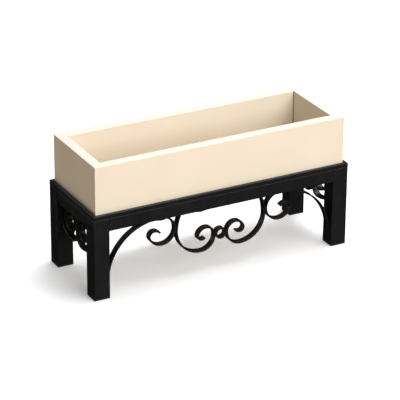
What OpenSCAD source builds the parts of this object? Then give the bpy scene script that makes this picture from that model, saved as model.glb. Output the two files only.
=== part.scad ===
// Raised planter: a long box with mitred walls, lying loose in a welded steel stand.
// The stand has four square legs, tube rails, a raised lip round the top and scrollwork
// of bent flat bar under every rail.
// Origin: centre of the footprint, on the floor. +X is along the length, -Y is the front, +Z is up.

/* [Stand] */
// Length over the legs
stand_l = 940; // [860:10:1200]
// Depth over the legs
stand_w = 332; // [320:2:420]
// Side of the square leg tube
leg = 56; // [48:1:60]
// Wall of the leg and rail tubes
tube_wall = 2.5; // [1.5:0.5:4]
// Height of the rails' underside
rail_z = 238; // [235:1:260]
// Height of a rail's section
rail_h = 44; // [30:1:50]
// Width of the square bar that forms the lip
lip_w = 12; // [8:1:12]
// Height of the lip above the rails
lip_h = 15; // [8:1:20]
// Thickness of the foot plug's flange under each leg
foot_t = 4; // [2:1:8]
// Thickness of the plate that closes each leg's top
cap_t = 3; // [2:1:5]
// Width of the flat bars that cross under the box
cross_w = 30; // [20:1:50]
// Thickness of the flat bars that cross under the box
cross_t = 5; // [3:1:8]

/* [Scrollwork] */
// Width of the flat bar
bar_w = 22; // [16:1:30]
// Thickness of the flat bar
bar_t = 6.4; // [4:0.2:7]
// Outer radius of the small rings between the scrolls
ring_r = 20; // [18:1:22]
// Lowest point of the centre scrolls
scroll_low_z = 80; // [76:1:84]
// Outer radius of a centre scroll's belly
belly_r = 93; // [90:1:96]
// Height of the brackets' feet on the legs
bracket_foot_z = 67; // [60:1:80]
// Outer radius of the curl where a bracket meets the centre scroll
bracket_curl_r = 51; // [48:1:53]
// Lowest point of the end scrolls
end_low_z = 127; // [118:1:128]

/* [Box] */
// Height of the box
box_h = 178; // [150:1:260]
// Thickness of the wall panels
wall_t = 34; // [24:1:40]
// Gap between the lip and the box, all round
box_gap = 1; // [0.5:0.5:1]
// Clearance under the box where it rests on the rails
seat_gap = 0.3; // [0.2:0.1:0.5]
// Thickness of the floor panel
floor_t = 18; // [12:1:25]
// Height of the cleats that carry the floor panel
cleat_h = 18; // [16:1:30]
// Depth of the cleats, from the wall inward
cleat_d = 20; // [16:1:30]
// Diameter of the drain holes
drain_d = 12; // [8:1:20]
// Number of drain holes
drain_n = 5; // [5:2:9]

/* [Screws] */
// Diameter of the cleat screws
screw_d = 4; // [3:0.5:5]
// Length of the cleat screws
screw_l = 40; // [36:1:44]
// Diameter of the screw heads
screw_head_d = 8; // [7:0.5:9]
// Screws in each cleat
screw_n = 4; // [2:1:6]

/* [Hidden] */
frame_black = [0.07, 0.07, 0.075];
plug_black = [0.1, 0.1, 0.1];
cream = [0.96, 0.9, 0.8];
bare_wood = [0.8, 0.68, 0.5];
steel = [0.75, 0.75, 0.77];
round_fn = 48;
cut = 1;                                    // how far a cutter runs past a face
chord_error = 0.08;                         // largest gap between a scroll's arcs and their chords
plug_h = 20;                                // stem of a foot plug, inside the leg
touch = 0.2;                                // gap left where two scrolls meet
screw_play = 0.1;                           // radial play of a screw in its hole

leg_top = rail_z + rail_h;
tube_in = leg - 2 * tube_wall;
leg_x = stand_l / 2 - leg / 2;              // leg axes
leg_y = stand_w / 2 - leg / 2;
bay_x = stand_l / 2 - leg;                  // inner faces of the legs
bay_y = stand_w / 2 - leg;

// Chains of arcs: each scroll's outer edge is a run of [radius, sweep] pieces, every one
// bending the same way. A piece of radius 0 is straight, and its second number is its length.
foot_lean = 4;                              // a bracket leaves its leg at this angle
bracket_arc_r = (rail_z - bracket_foot_z) / (1 - sin(foot_lean));
bracket_top_x = bay_x - bracket_arc_r * cos(foot_lean);
scroll_neck_r = 150;                        // flatter piece between the belly and the rail
scroll_neck_a = asin((rail_z - scroll_low_z - belly_r) / scroll_neck_r);
scroll_inner_r = 53;                        // from the lowest point up to the ring
scroll_low_x = ring_r + scroll_inner_r;
scroll_out_x = scroll_low_x + belly_r;
scroll_start_x = scroll_out_x - scroll_neck_r * (1 - cos(scroll_neck_a));
ring_z = scroll_low_z + scroll_inner_r;
bracket_run = bracket_top_x - bracket_curl_r - scroll_out_x - touch;
bracket_chain = [
    [bracket_arc_r, 90 - foot_lean],
    [0, bracket_run],
    [bracket_curl_r, 244],
    [21, 116],
    [30, 50]
];
centre_chain = [
    [scroll_neck_r, scroll_neck_a],
    [belly_r, 90],
    [scroll_inner_r, 90],
    [35, 90],
    [34, 75],
    [17, 105],
    [30, 30]
];
end_foot = 22;                              // straight foot welded to the leg
end_heel_r = 34;                            // bend between the foot and the long arc
end_dip = 25;                               // slope of the long arc where it starts
end_rise_r = 34;                            // from the lowest point up to the middle
end_curl_r = 43;                            // over the top, under the rail
end_heel_y = end_heel_r * (1 - sin(end_dip));
end_arc_r = (bay_y - end_rise_r - end_heel_y) / sin(end_dip);
end_arc_drop = end_arc_r * (1 - cos(end_dip));
end_foot_z = end_low_z + end_arc_drop + end_heel_r * cos(end_dip) + end_foot;
end_riser = rail_z - end_low_z - end_rise_r - end_curl_r;
end_chain = [
    [0, end_foot],
    [end_heel_r, 90 - end_dip],
    [end_arc_r, end_dip],
    [end_rise_r, 90],
    [0, end_riser],
    [end_curl_r, 90],
    [0, 6],
    [40, 180],
    [34, 90],
    [24, 80],
    [16, 90]
];

box_l = stand_l - 2 * (lip_w + box_gap);
box_w = stand_w - 2 * (lip_w + box_gap);
box_z = leg_top + seat_gap;
hollow_l = box_l - 2 * wall_t;
hollow_w = box_w - 2 * wall_t;
floor_z = box_z + cleat_h;
screw_z = box_z + cleat_h / 2;
drain_pitch = hollow_l / drain_n;
cross_x = 1.5 * drain_pitch;                // midway between two drain holes
screw_pitch = hollow_l / screw_n;
head_h = (screw_head_d - screw_d) / 2;      // a 90 degree countersunk head

// ---------------------------------------------------------------- arc chains

// Where a point moves to along one piece of a chain, turning left from heading h.
function step(p, h, piece, part = 1) = piece[0] == 0
    ? p + part * piece[1] * [cos(h), sin(h)]
    : p + piece[0] * [sin(h + part * piece[1]) - sin(h), cos(h) - cos(h + part * piece[1])];
function turn(piece) = piece[0] == 0 ? 0 : piece[1];
function chords(piece) = piece[0] == 0 ? 1
    : ceil(piece[1] / (2 * acos(1 - chord_error / piece[0])));

// Outer edge of a chain as [point, heading] pairs.
function edge(chain, p, h, i = 0) = i == len(chain) ? [[p, h]] : concat(
    [for (k = [0 : chords(chain[i]) - 1])
        let (part = k / chords(chain[i]))
        [step(p, h, chain[i], part), h + part * turn(chain[i])]],
    edge(chain, step(p, h, chain[i]), h + turn(chain[i]), i + 1));

// A flat bar bent along a chain, drawn as its side outline.
module bent_bar(chain, p, h) {
    points = edge(chain, p, h);
    inside = [for (i = [len(points) - 1 : -1 : 0])
        points[i][0] + bar_t * [-sin(points[i][1]), cos(points[i][1])]];
    polygon(concat([for (q = points) q[0]], inside));
}

// Stands a side outline up, bar_w thick, centred on the plane y.
module upright(y) {
    translate([0, y + bar_w / 2, 0])
        rotate([90, 0, 0])
            linear_extrude(bar_w)
                children();
}

// The same on the plane x, where the outline's first direction runs along +Y.
module upright_end(x) {
    rotate([0, 0, 90])
        upright(-x)
            children();
}

module ring_outline(z) {
    translate([0, z])
        difference() {
            circle(r = ring_r, $fn = round_fn);
            circle(r = ring_r - bar_t, $fn = round_fn);
        }
}

// ---------------------------------------------------------------- stand

module centred_box(x, y, z0, z1) {
    translate([-x / 2, -y / 2, z0])
        cube([x, y, z1 - z0]);
}

module leg_tube(sx, sy) {
    color(frame_black)
        translate([sx * leg_x, sy * leg_y, 0])
            difference() {
                centred_box(leg, leg, foot_t, leg_top);
                centred_box(tube_in, tube_in, foot_t - cut, leg_top + cut);
            }
}

module foot_plug(sx, sy) {
    color(plug_black)
        translate([sx * leg_x, sy * leg_y, 0])
            union() {
                centred_box(leg, leg, 0, foot_t);
                centred_box(tube_in, tube_in, foot_t, foot_t + plug_h);
            }
}

module leg_cap(sx, sy) {
    color(frame_black)
        translate([sx * leg_x, sy * leg_y, 0])
            centred_box(tube_in, tube_in, leg_top - cap_t, leg_top);
}

// A rail tube along X, centred on the origin.
module rail_tube(length) {
    difference() {
        centred_box(length, leg, rail_z, leg_top);
        centred_box(length + 2 * cut, tube_in, rail_z + tube_wall, leg_top - tube_wall);
    }
}

module long_rail(sy) {
    color(frame_black)
        translate([0, sy * leg_y, 0])
            rail_tube(2 * bay_x);
}

module short_rail(sx) {
    color(frame_black)
        translate([sx * leg_x, 0, 0])
            rotate([0, 0, 90])
                rail_tube(2 * bay_y);
}

// A bar or panel along X with mitred ends, its outer face on y = -depth / 2.
module mitred(length, depth, thickness, height) {
    linear_extrude(height)
        polygon([
            [-length / 2, -depth / 2],
            [length / 2, -depth / 2],
            [length / 2 - thickness, thickness - depth / 2],
            [thickness - length / 2, thickness - depth / 2]
        ]);
}

module lip_bar(length, depth, angle) {
    color(frame_black)
        rotate([0, 0, angle])
            translate([0, 0, leg_top])
                mitred(length, depth, lip_w, lip_h);
}

module cross_bar(x) {
    color(frame_black)
        translate([x, 0, 0])
            centred_box(cross_w, 2 * bay_y, leg_top - cross_t, leg_top);
}

// ---------------------------------------------------------------- scrollwork

module bracket(sx, sy) {
    color(frame_black)
        mirror([sx < 0 ? 1 : 0, 0, 0])
            upright(sy * leg_y)
                bent_bar(bracket_chain, [bay_x, bracket_foot_z], 90 + foot_lean);
}

module centre_scroll(sx, sy) {
    color(frame_black)
        mirror([sx > 0 ? 1 : 0, 0, 0])
            upright(sy * leg_y)
                bent_bar(centre_chain, [-scroll_start_x, rail_z], -90 - scroll_neck_a);
}

module ring(sy) {
    color(frame_black)
        upright(sy * leg_y)
            ring_outline(ring_z);
}

module end_scroll(sx, sy) {
    color(frame_black)
        mirror([0, sy > 0 ? 1 : 0, 0])
            upright_end(sx * leg_x)
                bent_bar(end_chain, [-bay_y, end_foot_z], -90);
}

// ---------------------------------------------------------------- box

// Places a pilot hole or a screw at each screw position of one cleat, pointing to -Y.
module along_cleat() {
    for (i = [0 : screw_n - 1])
        translate([(i + 0.5) * screw_pitch - hollow_l / 2, cleat_d - hollow_w / 2, screw_z])
            rotate([90, 0, 0])
                children();
}

module screw_shape(play) {
    cylinder(r = screw_d / 2 + play, h = screw_l + play, $fn = round_fn);
    cylinder(r1 = screw_head_d / 2 + play, r2 = screw_d / 2 + play, h = head_h, $fn = round_fn);
}

module long_wall(angle) {
    color(cream)
        rotate([0, 0, angle])
            difference() {
                translate([0, 0, box_z])
                    mitred(box_l, box_w, wall_t, box_h);
                along_cleat()
                    screw_shape(screw_play);
            }
}

module short_wall(angle) {
    color(cream)
        rotate([0, 0, angle])
            translate([0, 0, box_z])
                mitred(box_w, box_l, wall_t, box_h);
}

module box_floor() {
    color(cream)
        difference() {
            centred_box(hollow_l, hollow_w, floor_z, floor_z + floor_t);
            for (i = [0 : drain_n - 1])
                translate([(i + 0.5) * drain_pitch - hollow_l / 2, 0, floor_z - cut])
                    cylinder(d = drain_d, h = floor_t + 2 * cut, $fn = round_fn);
        }
}

module cleat(angle) {
    color(bare_wood)
        rotate([0, 0, angle])
            difference() {
                translate([-hollow_l / 2, -hollow_w / 2, box_z])
                    cube([hollow_l, cleat_d, cleat_h]);
                along_cleat()
                    screw_shape(screw_play);
            }
}

module cleat_screws() {
    color(steel)
        for (angle = [0, 180])
            rotate([0, 0, angle])
                along_cleat()
                    screw_shape(0);
}

// ---------------------------------------------------------------- nodes

module leg_front_left() leg_tube(-1, -1);
module leg_front_right() leg_tube(1, -1);
module leg_back_left() leg_tube(-1, 1);
module leg_back_right() leg_tube(1, 1);
module foot_plug_front_left() foot_plug(-1, -1);
module foot_plug_front_right() foot_plug(1, -1);
module foot_plug_back_left() foot_plug(-1, 1);
module foot_plug_back_right() foot_plug(1, 1);
module leg_cap_front_left() leg_cap(-1, -1);
module leg_cap_front_right() leg_cap(1, -1);
module leg_cap_back_left() leg_cap(-1, 1);
module leg_cap_back_right() leg_cap(1, 1);
module rail_front() long_rail(-1);
module rail_back() long_rail(1);
module rail_left() short_rail(-1);
module rail_right() short_rail(1);
module lip_front() lip_bar(stand_l, stand_w, 0);
module lip_back() lip_bar(stand_l, stand_w, 180);
module lip_left() lip_bar(stand_w, stand_l, -90);
module lip_right() lip_bar(stand_w, stand_l, 90);
module cross_bar_left() cross_bar(-cross_x);
module cross_bar_right() cross_bar(cross_x);
module bracket_front_left() bracket(-1, -1);
module bracket_front_right() bracket(1, -1);
module bracket_back_left() bracket(-1, 1);
module bracket_back_right() bracket(1, 1);
module scroll_front_left() centre_scroll(-1, -1);
module scroll_front_right() centre_scroll(1, -1);
module scroll_back_left() centre_scroll(-1, 1);
module scroll_back_right() centre_scroll(1, 1);
module ring_front() ring(-1);
module ring_back() ring(1);
module end_scroll_left_front() end_scroll(-1, -1);
module end_scroll_left_back() end_scroll(-1, 1);
module end_scroll_right_front() end_scroll(1, -1);
module end_scroll_right_back() end_scroll(1, 1);
module wall_front() long_wall(0);
module wall_back() long_wall(180);
module wall_left() short_wall(-90);
module wall_right() short_wall(90);
module cleat_front() cleat(0);
module cleat_back() cleat(180);

leg_front_left();
leg_front_right();
leg_back_left();
leg_back_right();
foot_plug_front_left();
foot_plug_front_right();
foot_plug_back_left();
foot_plug_back_right();
leg_cap_front_left();
leg_cap_front_right();
leg_cap_back_left();
leg_cap_back_right();
rail_front();
rail_back();
rail_left();
rail_right();
lip_front();
lip_back();
lip_left();
lip_right();
cross_bar_left();
cross_bar_right();
bracket_front_left();
bracket_front_right();
bracket_back_left();
bracket_back_right();
scroll_front_left();
scroll_front_right();
scroll_back_left();
scroll_back_right();
ring_front();
ring_back();
end_scroll_left_front();
end_scroll_left_back();
end_scroll_right_front();
end_scroll_right_back();
wall_front();
wall_back();
wall_left();
wall_right();
box_floor();
cleat_front();
cleat_back();
cleat_screws();
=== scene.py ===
import math
import random

import bmesh
import bpy
from mathutils import Matrix, Vector


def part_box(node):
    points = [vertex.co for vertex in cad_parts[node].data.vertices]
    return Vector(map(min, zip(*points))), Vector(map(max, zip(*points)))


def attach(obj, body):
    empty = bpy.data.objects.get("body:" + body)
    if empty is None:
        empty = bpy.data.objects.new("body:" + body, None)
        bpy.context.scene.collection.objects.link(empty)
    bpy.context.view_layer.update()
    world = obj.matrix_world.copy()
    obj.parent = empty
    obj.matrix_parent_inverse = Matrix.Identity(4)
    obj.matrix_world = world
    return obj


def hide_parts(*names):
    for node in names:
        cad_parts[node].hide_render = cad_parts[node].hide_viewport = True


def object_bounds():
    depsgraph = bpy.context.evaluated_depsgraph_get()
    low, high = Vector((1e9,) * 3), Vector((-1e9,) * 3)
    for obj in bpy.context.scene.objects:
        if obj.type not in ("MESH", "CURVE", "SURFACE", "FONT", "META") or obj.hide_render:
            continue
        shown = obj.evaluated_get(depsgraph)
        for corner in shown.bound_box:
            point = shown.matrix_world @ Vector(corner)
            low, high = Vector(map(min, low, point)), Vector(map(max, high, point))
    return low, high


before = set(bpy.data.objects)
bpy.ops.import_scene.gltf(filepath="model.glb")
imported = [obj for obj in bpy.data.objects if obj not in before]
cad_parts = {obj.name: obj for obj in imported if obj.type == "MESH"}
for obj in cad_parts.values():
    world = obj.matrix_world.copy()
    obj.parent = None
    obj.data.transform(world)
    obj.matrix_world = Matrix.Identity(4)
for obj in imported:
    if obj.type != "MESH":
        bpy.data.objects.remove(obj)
cad_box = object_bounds()

MM = 0.001
STAND = "stand"
BOX = "planter_box"
FRONT_BACK = {"front": -1, "back": 1}
LEFT_RIGHT = {"left": -1, "right": 1}

# Places that the CAD frame gives.
leg_low, leg_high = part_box("leg_front_right")
ring_low, ring_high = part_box("ring_front")
bracket_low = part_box("bracket_front_right")[0]
scroll_low, scroll_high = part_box("scroll_front_right")

BAY_X = leg_low.x                        # inner faces of the legs
BAY_Y = -leg_high.y
LEG_X = (leg_low.x + leg_high.x) / 2     # leg axes
LEG_Y = -(leg_low.y + leg_high.y) / 2
RAIL_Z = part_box("rail_front")[0].z       # the rails' underside
RIM_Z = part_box("wall_front")[1].z        # the box's rim
INNER_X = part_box("wall_right")[0].x      # inner faces of the box's walls
INNER_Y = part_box("wall_back")[0].y
RING_R = (ring_high.x - ring_low.x) / 2
RING_Z = (ring_high.z + ring_low.z) / 2
BAR_W = ring_high.y - ring_low.y
BAR_T = 6.4 * MM
# painted shade: the dark brown drawn along the joint lines in the box's inner corners
CORNER_SHADE_BROWN = (0.16, 0.11, 0.07)          # the shadowed joint line in the box's inner corners


# ---------------------------------------------------------------- materials

class Nodes:
    """A short way to write a node material."""

    def __init__(self, name):
        self.material = bpy.data.materials.new(name)
        self.material.use_nodes = True
        self.tree = self.material.node_tree
        self.shader = self.tree.nodes["Principled BSDF"]
        self.place = self.add("ShaderNodeTexCoord").outputs["Object"]

    def add(self, kind, **settings):
        made = self.tree.nodes.new(kind)
        for key, value in settings.items():
            setattr(made, key, value)
        return made

    def link(self, a, b):
        self.tree.links.new(a, b)

    def stretched(self, scale):
        """The surface's own coordinates, scaled differently along each axis."""
        mapping = self.add("ShaderNodeMapping")
        mapping.inputs["Scale"].default_value = scale
        self.link(self.place, mapping.inputs["Vector"])
        return mapping.outputs["Vector"]

    def noise(self, scale, detail=3.0, roughness=0.5, vector=None):
        tex = self.add("ShaderNodeTexNoise")
        tex.inputs["Scale"].default_value = scale
        tex.inputs["Detail"].default_value = detail
        tex.inputs["Roughness"].default_value = roughness
        self.link(vector or self.place, tex.inputs["Vector"])
        return tex.outputs["Fac"]

    def ramp(self, value, stops):
        ramp = self.add("ShaderNodeValToRGB")
        points = ramp.color_ramp.elements
        while len(points) < len(stops):
            points.new(0.5)
        for point, (at, colour) in zip(points, stops):
            point.position = at
            point.color = (*colour, 1.0)
        self.link(value, ramp.inputs["Fac"])
        return ramp.outputs["Color"]

    def spread(self, value, low, high):
        """Maps noise, which stays near the middle of 0 to 1, to low..high."""
        return self.fade(value, 0.3, 0.7, low, high)

    def fade(self, value, start, end, low=0.0, high=1.0):
        """Goes from low to high while value goes from start to end."""
        fade = self.add("ShaderNodeMapRange")
        fade.inputs["From Min"].default_value = start
        fade.inputs["From Max"].default_value = end
        fade.inputs["To Min"].default_value = low
        fade.inputs["To Max"].default_value = high
        self.link(value, fade.inputs["Value"])
        return fade.outputs["Result"]

    def mix(self, share):
        """A mix of the colours A and B, which the caller sets."""
        mix = self.add("ShaderNodeMix", data_type="RGBA")
        self.link(share, mix.inputs["Factor"])
        return mix

    def split_place(self):
        split = self.add("ShaderNodeSeparateXYZ")
        self.link(self.place, split.inputs["Vector"])
        return split.outputs

    def off_corner_shade(self, place):
        """0 on the upright lines where the walls meet inside, 1 a little away from them: the mask
        of the painted corner shade.
        """
        corner = self.add("ShaderNodeCombineXYZ")
        for axis in "XY":
            size = self.add("ShaderNodeMath", operation="ABSOLUTE")
            self.link(place[axis], size.inputs[0])
            self.link(size.outputs["Value"], corner.inputs[axis])
        away = self.add("ShaderNodeVectorMath", operation="DISTANCE")
        self.link(corner.outputs["Vector"], away.inputs[0])
        away.inputs[1].default_value = (INNER_X, INNER_Y, 0.0)
        return self.fade(away.outputs["Value"], 1.2 * MM, 2.6 * MM)

    def bump(self, *layers):
        """Stacks (height, strength, depth in metres) layers into the normal."""
        below = None
        for height, strength, depth in layers:
            bump = self.add("ShaderNodeBump")
            bump.inputs["Strength"].default_value = strength
            bump.inputs["Distance"].default_value = depth
            self.link(height, bump.inputs["Height"])
            if below:
                self.link(below, bump.inputs["Normal"])
            below = bump.outputs["Normal"]
        self.link(below, self.shader.inputs["Normal"])

    def finish(self, colour, roughness, **constants):
        self.link(colour, self.shader.inputs["Base Color"])
        self.link(roughness, self.shader.inputs["Roughness"])
        for key, value in constants.items():
            self.shader.inputs[key.replace("_", " ")].default_value = value
        return self.material


def powder_coat():
    """Satin black powder coat: a fine orange peel, slightly uneven in gloss."""
    n = Nodes("powder_coat_black")
    cloud = n.noise(9.0, 4.0)
    peel = n.noise(620.0, 2.0)
    swell = n.noise(110.0, 2.0)
    n.bump((swell, 0.10, 0.4 * MM), (peel, 0.22, 0.12 * MM))
    colour = n.ramp(cloud, [(0.35, (0.0076, 0.0080, 0.0087)), (0.7, (0.0101, 0.0106, 0.0116))])
    return n.finish(colour, n.spread(n.noise(38.0, 5.0), 0.30, 0.42), Specular_IOR_Level=0.35)


def cream_paint(name, along):
    """Smooth cream paint on board: roller stipple, and a trace of the board's run along it.
    The rim's top is painted nearly white, a painted highlight for the strong light on it, and the
    inner corners get painted shade as dark lines along their joints."""
    n = Nodes(name)
    run = [260.0, 260.0, 260.0]
    run["xyz".index(along)] = 5.0
    grain = n.noise(1.0, 4.0, 0.6, n.stretched(run))
    stipple = n.noise(760.0, 2.0)
    soft = n.noise(5.0, 3.0)
    n.bump((grain, 0.10, 0.25 * MM), (stipple, 0.14, 0.10 * MM))
    cream = n.ramp(soft, [(0.3, (0.735, 0.645, 0.522)), (0.72, (0.768, 0.678, 0.556))])
    # painted highlight: the rim's top is mixed to a paler tone, standing in for the bright light
    # that falls on it
    white = n.ramp(soft, [(0.3, (0.740, 0.680, 0.602)), (0.72, (0.765, 0.705, 0.628))])
    place = n.split_place()
    rim = n.mix(n.fade(place["Z"], RIM_Z - 1.6 * MM, RIM_Z - 0.2 * MM))
    n.link(cream, rim.inputs["A"])
    n.link(white, rim.inputs["B"])
    # painted shade: a dark brown line down the inner corners, where shade falls along the joints
    corner_shade = n.mix(n.off_corner_shade(place))
    corner_shade.inputs["A"].default_value = (*CORNER_SHADE_BROWN, 1.0)
    n.link(rim.outputs["Result"], corner_shade.inputs["B"])
    return n.finish(corner_shade.outputs["Result"], n.spread(n.noise(70.0, 4.0), 0.50, 0.62), IOR=1.45)


def plug_plastic():
    n = Nodes("plug_plastic_black")
    fine = n.noise(1100.0, 2.0)
    n.bump((fine, 0.3, 0.08 * MM))
    colour = n.ramp(n.noise(30.0), [(0.3, (0.010, 0.010, 0.010)), (0.7, (0.016, 0.016, 0.016))])
    return n.finish(colour, n.spread(n.noise(80.0), 0.55, 0.7))


def bare_timber():
    n = Nodes("bare_timber")
    rings = n.noise(1.0, 6.0, 0.65, n.stretched([6.0, 130.0, 130.0]))
    pores = n.noise(1.0, 3.0, 0.5, n.stretched([60.0, 1400.0, 1400.0]))
    n.bump((rings, 0.2, 0.4 * MM), (pores, 0.3, 0.15 * MM))
    colour = n.ramp(rings, [
        (0.30, (0.36, 0.22, 0.11)), (0.50, (0.62, 0.44, 0.25)), (0.72, (0.74, 0.57, 0.36))])
    return n.finish(colour, n.spread(pores, 0.6, 0.85))


def zinc():
    n = Nodes("zinc_plate")
    fine = n.noise(900.0, 3.0)
    n.bump((fine, 0.15, 0.05 * MM))
    colour = n.ramp(n.noise(200.0), [(0.3, (0.50, 0.50, 0.53)), (0.7, (0.66, 0.66, 0.68))])
    return n.finish(colour, n.spread(fine, 0.28, 0.42), Metallic=1.0)


BLACK = powder_coat()
CREAM_LONG = cream_paint("cream_paint_long", "x")
CREAM_SHORT = cream_paint("cream_paint_short", "y")
PLUG = plug_plastic()
TIMBER = bare_timber()
ZINC = zinc()


# ---------------------------------------------------------------- mesh tools

def add_piece(name, bm, material, body, slot, *nodes):
    """Makes the mesh an object, puts it on its body and lets it stand for its CAD nodes."""
    bmesh.ops.recalc_face_normals(bm, faces=bm.faces)
    mesh = bpy.data.meshes.new(name)
    bm.to_mesh(mesh)
    bm.free()
    for face in mesh.polygons:
        face.use_smooth = True
    mesh.materials.append(material)
    piece = bpy.data.objects.new(name, mesh)
    bpy.context.scene.collection.objects.link(piece)
    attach(piece, body)
    if nodes:
        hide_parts(*nodes)
    return piece


def round_edges(piece, width, segments=3):
    """Rounds the marked edges, each by its own share of width, and keeps the flats flat."""
    bevel = piece.modifiers.new("round_edges", "BEVEL")
    bevel.width = width
    bevel.segments = segments
    bevel.limit_method = "WEIGHT"
    bevel.use_clamp_overlap = True
    flat = piece.modifiers.new("flat_faces", "WEIGHTED_NORMAL")
    flat.keep_sharp = True


def prism(outline, z0, z1):
    """A bmesh prism over an outline of (x, y) corners. Returns it with its rings of vertices."""
    bm = bmesh.new()
    low = [bm.verts.new((x, y, z0)) for x, y in outline]
    high = [bm.verts.new((x, y, z1)) for x, y in outline]
    count = len(outline)
    for i in range(count):
        j = (i + 1) % count
        bm.faces.new((low[i], low[j], high[j], high[i]))
    bm.faces.new(list(reversed(low)))
    bm.faces.new(high)
    return bm, low, high


def weigh(bm, pairs):
    """Marks edges for rounding: pairs of (vertex, vertex, share of the bevel's width)."""
    layer = bm.edges.layers.float.new("bevel_weight_edge")
    for a, b, share in pairs:
        bm.edges.get((a, b))[layer] = share


def rounded_box(name, low, high, radius, material, body, slot, *nodes):
    """A box with all its edges rounded."""
    outline = [(low.x, low.y), (high.x, low.y), (high.x, high.y), (low.x, high.y)]
    bm = prism(outline, low.z, high.z)[0]
    weigh(bm, [(e.verts[0], e.verts[1], 1.0) for e in bm.edges])
    piece = add_piece(name, bm, material, body, slot, *nodes)
    round_edges(piece, radius)
    return piece


def mitred_outline(side, low, high, thick):
    """Corners of a mitred bar or panel, outer edge first, running round counterclockwise."""
    x0, y0, x1, y1 = low.x, low.y, high.x, high.y
    return {
        "front": [(x0, y0), (x1, y0), (x1 - thick, y1), (x0 + thick, y1)],
        "back": [(x1, y1), (x0, y1), (x0 + thick, y0), (x1 - thick, y0)],
        "left": [(x0, y1), (x0, y0), (x1, y0 + thick), (x1, y1 - thick)],
        "right": [(x1, y0), (x1, y1), (x0, y1 - thick), (x0, y0 + thick)],
    }[side]


def mitred_piece(name, node, side, rounding, shares, material, body, slot):
    """A mitred bar or panel in place of a CAD node. shares are the parts of the rounding that
    the long edges, the outer corner edges, the inner corner edges and the mitre's edges get."""
    low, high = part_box(node)
    thick = min(high.x - low.x, high.y - low.y)
    bm, bottom, top = prism(mitred_outline(side, low, high, thick), low.z, high.z)
    long_edge, outer, inner, mitre = shares
    marks = [(bottom[0], top[0], outer), (bottom[1], top[1], outer),
             (bottom[2], top[2], inner), (bottom[3], top[3], inner)]
    for ring in (bottom, top):
        marks += [(ring[0], ring[1], long_edge), (ring[2], ring[3], long_edge),
                  (ring[1], ring[2], mitre), (ring[3], ring[0], mitre)]
    weigh(bm, marks)
    piece = add_piece(name, bm, material, body, slot, node)
    round_edges(piece, rounding)
    return piece


# ---------------------------------------------------------------- bent flat bar

def bar_section(inset=0.0, radius=0.9 * MM, arc_steps=3, land=0.35 * MM):
    """Section of the flat bar as (depth, across) points: rounded corners, and a short land
    beside each so that the flats stay flat when shaded."""
    half_t = BAR_T / 2 - inset
    half_w = BAR_W / 2 - inset
    radius = max(radius - inset, 0.25 * MM)
    points = []
    for turn, (st, sw) in enumerate([(1, 1), (-1, 1), (-1, -1), (1, -1)]):
        centre = (st * (half_t - radius), sw * (half_w - radius))
        start = turn * math.pi / 2
        corner = []
        for i in range(arc_steps + 1):
            a = start + math.pi / 2 * i / arc_steps
            corner.append((centre[0] + radius * math.cos(a), centre[1] + radius * math.sin(a)))
        before = (corner[0][0] + land * math.sin(start), corner[0][1] - land * math.cos(start))
        end = start + math.pi / 2
        after = (corner[-1][0] - land * math.sin(end), corner[-1][1] + land * math.cos(end))
        points += [before] + corner + [after]
    return [(BAR_T / 2 + t, w) for t, w in points]


def walk(chain, point, heading, step=2.6 * MM, most=math.radians(4)):
    """Points along the outer edge of a chain of left-turning arcs, as (x, z, heading).
    A piece is (radius, sweep in degrees), or (0, length) where it is straight."""
    x, z = point
    h = heading
    path = [(x, z, h)]
    for radius, amount in chain:
        if radius == 0:
            x, z = x + amount * math.cos(h), z + amount * math.sin(h)
            path.append((x, z, h))
            continue
        sweep = math.radians(amount)
        parts = max(2, math.ceil(sweep / min(most, max(step / radius, math.radians(1)))))
        cx, cz = x - radius * math.sin(h), z + radius * math.cos(h)
        for i in range(1, parts + 1):
            a = h + sweep * i / parts
            path.append((cx + radius * math.sin(a), cz - radius * math.cos(a), a))
        x, z, h = path[-1]
    return path


def sweep_bar(path, place, closed=False):
    """Sweeps the bar's section along a path. place(u, z, across) gives a point in space."""
    bm = bmesh.new()
    stations = [(x, z, h, 0.0) for x, z, h in path]
    if not closed:
        # Both ends are eased: (distance from the end, inset of the section) of each ring there.
        ease = [(0.0, 0.6 * MM), (0.18 * MM, 0.26 * MM), (0.6 * MM, 0.0)]
        x, z, h = path[0]
        x1, z1, h1 = path[-1]
        first = [(x + s * math.cos(h), z + s * math.sin(h), h, inset) for s, inset in ease]
        last = [(x1 - s * math.cos(h1), z1 - s * math.sin(h1), h1, inset)
                for s, inset in reversed(ease)]
        stations = first + stations[1:-1] + last
    rings = []
    for x, z, h, inset in stations:
        ring = [bm.verts.new(place(x - t * math.sin(h), z + t * math.cos(h), w))
                for t, w in bar_section(inset)]
        rings.append(ring)
    count = len(rings[0])
    pairs = list(zip(rings, rings[1:]))
    if closed:
        pairs.append((rings[-1], rings[0]))
    for a, b in pairs:
        for i in range(count):
            j = (i + 1) % count
            bm.faces.new((a[i], a[j], b[j], b[i]))
    if not closed:
        bm.faces.new(rings[0])
        bm.faces.new(list(reversed(rings[-1])))
    return bm


def front_place(sx, sy):
    """Puts a side outline drawn for the right half into the plane of a long rail."""
    return lambda u, z, w: (sx * u, sy * LEG_Y + w, z)


def end_place(sx, sy):
    """Puts a side outline drawn for the back half into the plane of an end rail."""
    return lambda u, z, w: (sx * LEG_X + w, sy * u, z)


def ring_path(z, steps=72):
    return [(RING_R * math.sin(a), z - RING_R * math.cos(a), a)
            for a in (2 * math.pi * i / steps for i in range(steps))]


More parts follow.
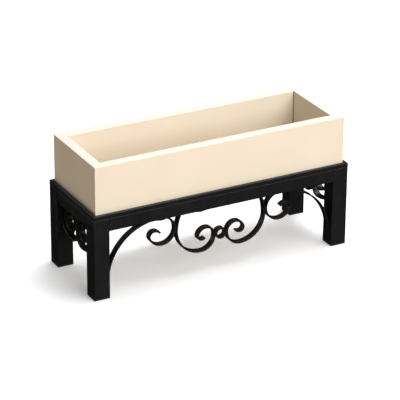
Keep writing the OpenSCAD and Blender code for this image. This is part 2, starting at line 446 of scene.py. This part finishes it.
# Chains of arcs, as in the CAD source: (radius, sweep in degrees), or (0, length) if straight.
FOOT_LEAN_DEGREES = 4                    # a bracket leaves its leg at this angle
FOOT_LEAN = math.radians(FOOT_LEAN_DEGREES)
ARC_R = (RAIL_Z - bracket_low.z) / (1 - math.sin(FOOT_LEAN))
TOP_X = BAY_X - ARC_R * math.cos(FOOT_LEAN)
CURL_R = 51 * MM
BRACKET_RUN = TOP_X - CURL_R - bracket_low.x
BRACKET = [
    (ARC_R, 90 - FOOT_LEAN_DEGREES),
    (0, BRACKET_RUN),
    (CURL_R, 244),
    (21 * MM, 116),
    (30 * MM, 50),
]

NECK_R = 150 * MM
BELLY_R = 93 * MM
INNER_R = RING_Z - scroll_low.z
NECK_A = math.asin((RAIL_Z - scroll_low.z - BELLY_R) / NECK_R)
SCROLL_X = scroll_high.x - NECK_R * (1 - math.cos(NECK_A))
CENTRE = [
    (NECK_R, math.degrees(NECK_A)),
    (BELLY_R, 90),
    (INNER_R, 90),
    (35 * MM, 90),
    (34 * MM, 75),
    (17 * MM, 105),
    (30 * MM, 30),
]

END_DIP_DEGREES = 25                     # slope of the long arc where it starts
END_DIP = math.radians(END_DIP_DEGREES)
END_FOOT = 22 * MM
HEEL_R = 34 * MM
RISE_R = 34 * MM
END_CURL_R = 43 * MM
END_ARC_R = (BAY_Y - RISE_R - HEEL_R * (1 - math.sin(END_DIP))) / math.sin(END_DIP)
END_LOW_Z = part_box("end_scroll_right_back")[0].z
END_FOOT_Z = (END_LOW_Z + END_ARC_R * (1 - math.cos(END_DIP))
              + HEEL_R * math.cos(END_DIP) + END_FOOT)
END_RISER = RAIL_Z - END_LOW_Z - RISE_R - END_CURL_R
END = [
    (0, END_FOOT),
    (HEEL_R, 90 - END_DIP_DEGREES),
    (END_ARC_R, END_DIP_DEGREES),
    (RISE_R, 90),
    (0, END_RISER),
    (END_CURL_R, 90),
    (0, 6 * MM),
    (40 * MM, 180),
    (34 * MM, 90),
    (24 * MM, 80),
    (16 * MM, 90),
]


def bent_bar(name, node, chain, start, heading, place):
    path = walk(chain, start, heading)
    return add_piece(name, sweep_bar(path, place), BLACK, STAND, "frame_paint", node)


def make_scrollwork():
    for front, sy in FRONT_BACK.items():
        for hand, sx in LEFT_RIGHT.items():
            bent_bar(f"bracket_bar_{front}_{hand}", f"bracket_{front}_{hand}", BRACKET,
                     (BAY_X, bracket_low.z), math.pi / 2 + FOOT_LEAN, front_place(sx, sy))
            bent_bar(f"scroll_bar_{front}_{hand}", f"scroll_{front}_{hand}", CENTRE,
                     (-SCROLL_X, RAIL_Z), -math.pi / 2 - NECK_A, front_place(-sx, sy))
            bent_bar(f"end_bar_{hand}_{front}", f"end_scroll_{hand}_{front}", END,
                     (-BAY_Y, END_FOOT_Z), -math.pi / 2, end_place(sx, -sy))
        ring = sweep_bar(ring_path(RING_Z), front_place(1, sy), closed=True)
        add_piece(f"ring_bar_{front}", ring, BLACK, STAND, "frame_paint", f"ring_{front}")


# ---------------------------------------------------------------- welds

def weld_bead(name, at, along, length, radius, seed):
    """A short hand-laid bead: a rippled rod with domed ends."""
    rng = random.Random(seed)
    along = Vector(along).normalized()
    side = along.orthogonal().normalized()
    up = along.cross(side)
    bm = bmesh.new()
    stations, around = 34, 10
    phase = rng.uniform(0, math.tau)
    rings = []
    for i in range(stations + 1):
        t = i / stations
        dome = math.sqrt(max(0.0, 1 - (2 * t - 1) ** 8))
        ripple = 1 + 0.13 * abs(math.sin(7 * math.pi * t + phase)) + rng.uniform(-0.03, 0.03)
        r = max(radius * dome * ripple, 0.05 * MM)
        centre = Vector(at) + along * (t - 0.5) * length
        rings.append([bm.verts.new(centre + r * (side * math.cos(a) + up * math.sin(a)))
                      for a in (math.tau * k / around for k in range(around))])
    for a, b in zip(rings, rings[1:]):
        for k in range(around):
            j = (k + 1) % around
            bm.faces.new((a[k], a[j], b[j], b[k]))
    bm.faces.new(list(reversed(rings[0])))
    bm.faces.new(rings[-1])
    return add_piece(name, bm, BLACK, STAND, "frame_paint")


BEAD_R = 1.7 * MM
BEAD_L = BAR_W - 3 * MM
CREVICE = 8 * MM                         # how far from a point of contact the beads lie


def make_welds():
    """Beads where the scrollwork meets the legs, the rails and itself."""
    curl_share = CURL_R / (CURL_R + BELLY_R)
    curl_z = RAIL_Z - CURL_R
    belly_z = scroll_low.z + BELLY_R
    touch_z = belly_z + (curl_z - belly_z) * (1 - curl_share)
    front_spots = {
        "foot": (BAY_X - 0.8 * MM, bracket_low.z - 0.4 * MM),
        "arc_top": (TOP_X + 18 * MM, RAIL_Z - 0.6 * MM),
        "curl_top": (TOP_X - BRACKET_RUN - 10 * MM, RAIL_Z - 0.6 * MM),
        "neck_out": (SCROLL_X + 1.2 * MM, RAIL_Z - 0.8 * MM),
        "neck_in": (SCROLL_X - 8.2 * MM, RAIL_Z - 0.8 * MM),
        "touch_high": (scroll_high.x, touch_z + CREVICE),
        "touch_low": (scroll_high.x, touch_z - CREVICE),
        "ring_high": (RING_R, RING_Z + 6 * MM),
        "ring_low": (RING_R, RING_Z - 6 * MM),
    }
    end_spots = {
        "foot_top": (BAY_Y - 1.5 * MM, END_FOOT_Z + 0.6 * MM),
        "foot_low": (BAY_Y - 0.6 * MM, END_FOOT_Z - END_FOOT - 8 * MM),
        "riser_top": (0, RAIL_Z - END_CURL_R + 8 * MM),
        "riser_low": (0, END_LOW_Z + RISE_R - 7 * MM),
        "rail_in": (END_CURL_R - 8 * MM, RAIL_Z - 0.6 * MM),
        "rail_out": (END_CURL_R + 14 * MM, RAIL_Z - 0.6 * MM),
    }
    seed = 0
    for front, sy in FRONT_BACK.items():
        for hand, sx in LEFT_RIGHT.items():
            for spot, (u, z) in front_spots.items():
                seed += 1
                weld_bead(f"weld_{front}_{hand}_{spot}", front_place(sx, sy)(u, z, 0),
                          (0, 1, 0), BEAD_L, BEAD_R, seed)
            for spot, (u, z) in end_spots.items():
                seed += 1
                weld_bead(f"weld_end_{hand}_{front}_{spot}", end_place(sx, sy)(u, z, 0),
                          (1, 0, 0), BEAD_L, BEAD_R, seed)


# ---------------------------------------------------------------- stand

TUBE_ROUNDING = 1.6 * MM
FLANGE_ROUNDING = 0.9 * MM
LIP_ROUNDING = 1.2 * MM
LIP_SHARES = (1.0, 0.5, 0.3, 0.12)       # see mitred_piece
CROSS_BAR_ROUNDING = 0.8 * MM
FLANGE_OVERLAP = 0.4 * MM                # how far a foot plug's flange runs up into its leg


def make_stand():
    for front in FRONT_BACK:
        for hand in LEFT_RIGHT:
            leg = f"leg_{front}_{hand}"
            rounded_box(f"tube_{leg}", *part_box(leg), TUBE_ROUNDING, BLACK, STAND, "frame_paint",
                        leg, f"leg_cap_{front}_{hand}")
            plug = f"foot_plug_{front}_{hand}"
            low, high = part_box(plug)
            low, high = low.copy(), high.copy()
            high.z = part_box(leg)[0].z + FLANGE_OVERLAP
            rounded_box(f"flange_{plug}", low, high, FLANGE_ROUNDING, PLUG, STAND,
                        "foot_plastic", plug)
    for side in ("front", "back", "left", "right"):
        rail = f"rail_{side}"
        rounded_box(f"tube_{rail}", *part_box(rail), TUBE_ROUNDING, BLACK, STAND,
                    "frame_paint", rail)
        mitred_piece(f"bar_lip_{side}", f"lip_{side}", side, LIP_ROUNDING, LIP_SHARES,
                     BLACK, STAND, "frame_paint")
    for hand in LEFT_RIGHT:
        bar = f"cross_bar_{hand}"
        rounded_box(f"flat_{bar}", *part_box(bar), CROSS_BAR_ROUNDING, BLACK, STAND,
                    "frame_paint", bar)


# ---------------------------------------------------------------- box

WALL_ROUNDING = 1.8 * MM
WALL_SHARES = (1.0, 0.2, 0.6, 0.1)       # see mitred_piece


def make_box():
    for side in ("front", "back", "left", "right"):
        paint = CREAM_LONG if side in FRONT_BACK else CREAM_SHORT
        mitred_piece(f"panel_wall_{side}", f"wall_{side}", side, WALL_ROUNDING, WALL_SHARES,
                     paint, BOX, "box_paint")
    for node, material in (("box_floor", CREAM_LONG), ("cleat_front", TIMBER),
                           ("cleat_back", TIMBER), ("cleat_screws", ZINC)):
        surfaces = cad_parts[node].data.materials
        surfaces.clear()
        surfaces.append(material)


make_stand()
make_scrollwork()
make_welds()
make_box()


# ---------------------------------------------------------------- stage, light and camera

LIGHT_DISTANCE = 8.0
AIM = Vector((0, 0, 0.25))               # the lights point at the middle of the planter


def hide_from_bounces(thing):
    """Keeps a stage piece out of bounce light and reflections."""
    thing.visible_diffuse = False
    thing.visible_glossy = False


def make_floor():
    """A pale floor that glows more beyond 3 m, where the softboxes no longer reach it."""
    n = Nodes("pale_floor")
    colour = n.ramp(n.noise(2.0), [(0.3, (0.86, 0.86, 0.86)), (0.7, (0.88, 0.88, 0.88))])
    n.finish(colour, n.spread(n.noise(3.0), 0.85, 0.95))
    n.shader.inputs["Specular IOR Level"].default_value = 0.0
    n.shader.inputs["Emission Color"].default_value = (1, 1, 1, 1)
    far = n.add("ShaderNodeVectorMath", operation="LENGTH")
    n.link(n.place, far.inputs[0])
    glow = n.fade(far.outputs["Value"], 3.0, 7.0, 0.30, 1.0)
    n.link(glow, n.shader.inputs["Emission Strength"])
    bm = bmesh.new()
    bmesh.ops.create_grid(bm, x_segments=8, y_segments=8, size=25.0)
    mesh = bpy.data.meshes.new("floor")
    bm.to_mesh(mesh)
    bm.free()
    mesh.materials.append(n.material)
    floor = bpy.data.objects.new("floor", mesh)
    bpy.context.scene.collection.objects.link(floor)
    floor.location.z = -0.0002
    hide_from_bounces(floor)             # the world's lower half stands in for its bounce


def make_backdrop(radius=24.0, height=14.0, sides=64):
    """A round white wall far behind everything, seen in low views."""
    n = Nodes("white_backdrop")
    colour = n.ramp(n.noise(0.2), [(0.3, (0.98, 0.98, 0.98)), (0.7, (1.0, 1.0, 1.0))])
    n.link(colour, n.shader.inputs["Emission Color"])
    n.shader.inputs["Base Color"].default_value = (0, 0, 0, 1)
    n.shader.inputs["Specular IOR Level"].default_value = 0.0
    n.shader.inputs["Emission Strength"].default_value = 1.0
    bm = bmesh.new()
    turns = [math.tau * i / sides for i in range(sides)]
    low, high = ([bm.verts.new((radius * math.cos(a), radius * math.sin(a), z)) for a in turns]
                 for z in (-0.01, height))
    for i in range(sides):
        j = (i + 1) % sides
        bm.faces.new((low[j], low[i], high[i], high[j]))
    mesh = bpy.data.meshes.new("backdrop")
    bm.to_mesh(mesh)
    bm.free()
    mesh.materials.append(n.material)
    wall = bpy.data.objects.new("backdrop", mesh)
    bpy.context.scene.collection.objects.link(wall)
    hide_from_bounces(wall)
    wall.visible_shadow = False


def make_world(upper, lower):
    """A dome with a dim upper half; its lower half is the light that a pale floor gives back."""
    world = bpy.data.worlds.new("studio")
    bpy.context.scene.world = world
    world.use_nodes = True
    tree = world.node_tree
    place = tree.nodes.new("ShaderNodeTexCoord")
    split = tree.nodes.new("ShaderNodeSeparateXYZ")
    ramp = tree.nodes.new("ShaderNodeValToRGB")
    ramp.color_ramp.elements[0].position = 0.0
    ramp.color_ramp.elements[0].color = (*lower, 1)
    ramp.color_ramp.elements[1].position = 0.05
    ramp.color_ramp.elements[1].color = (*upper, 1)
    tree.links.new(place.outputs["Generated"], split.inputs["Vector"])
    tree.links.new(split.outputs["Z"], ramp.inputs["Fac"])
    tree.links.new(ramp.outputs["Color"], tree.nodes["Background"].inputs["Color"])
    tree.nodes["Background"].inputs["Strength"].default_value = 1.0
    world.cycles_visibility.glossy = False    # only the softboxes make reflections


def softbox(azimuth, elevation, size, power, shine_only=False):
    """A square light. Azimuth 0 is in front, 90 on the right."""
    a, e = math.radians(azimuth), math.radians(elevation)
    light = bpy.data.lights.new(f"softbox_{azimuth}_{elevation}", "AREA")
    light.shape = "SQUARE"
    light.size = size
    light.energy = power
    lamp = bpy.data.objects.new(light.name, light)
    bpy.context.scene.collection.objects.link(lamp)
    toward = Vector((math.sin(a) * math.cos(e), -math.cos(a) * math.cos(e), math.sin(e)))
    lamp.location = AIM + LIGHT_DISTANCE * toward
    lamp.rotation_euler = toward.to_track_quat("Z", "Y").to_euler()
    lamp.visible_diffuse = not shine_only


def make_camera(azimuth, elevation, roll, lens, distance, aim_height, sideways, lift):
    """A long lens on the photographer's side of the planter, looking at its middle."""
    a, e, r = math.radians(azimuth), math.radians(elevation), math.radians(roll)
    back = Vector((math.sin(a) * math.cos(e), -math.cos(a) * math.cos(e), math.sin(e)))
    right = Vector((math.cos(a), math.sin(a), 0))
    up = back.cross(right)
    right, up = (right * math.cos(r) + up * math.sin(r), up * math.cos(r) - right * math.sin(r))
    data = bpy.data.cameras.new("photo_view")
    data.lens = lens
    data.sensor_width = 36.0
    camera = bpy.data.objects.new("photo_view", data)
    bpy.context.scene.collection.objects.link(camera)
    at = Vector((0, 0, aim_height)) + back * distance + right * sideways + up * lift
    turn = Matrix((right, up, back)).transposed().to_4x4()
    camera.matrix_world = Matrix.Translation(at) @ turn
    bpy.context.scene.camera = camera


LENGTH = cad_box[1][0] - cad_box[0][0]
make_floor()
make_backdrop()
make_world(upper=(0.03, 0.03, 0.03), lower=(0.82, 0.71, 0.56))
SOFTBOXES = [            # azimuth, elevation, size in metres, power in watts
    (0, 10, 4, 137), (0, 25, 4, 232), (30, 25, 4, 206),
    (45, 65, 4, 210), (90, 50, 4, 135), (135, 65, 4, 255), (150, 75, 5, 262),
]
for azimuth, elevation, size, power in SOFTBOXES:
    softbox(azimuth, elevation, size, power)
softbox(-118, 8, 5, 500, shine_only=True)    # puts a sheen on the metal's left-hand faces
make_camera(azimuth=-28.34, elevation=24.73, roll=0.43, lens=203.58, distance=7.965 * LENGTH,
            aim_height=0.25 * LENGTH, sideways=0.0001 * LENGTH, lift=-0.0415 * LENGTH)
bpy.context.scene.view_settings.view_transform = "Standard"
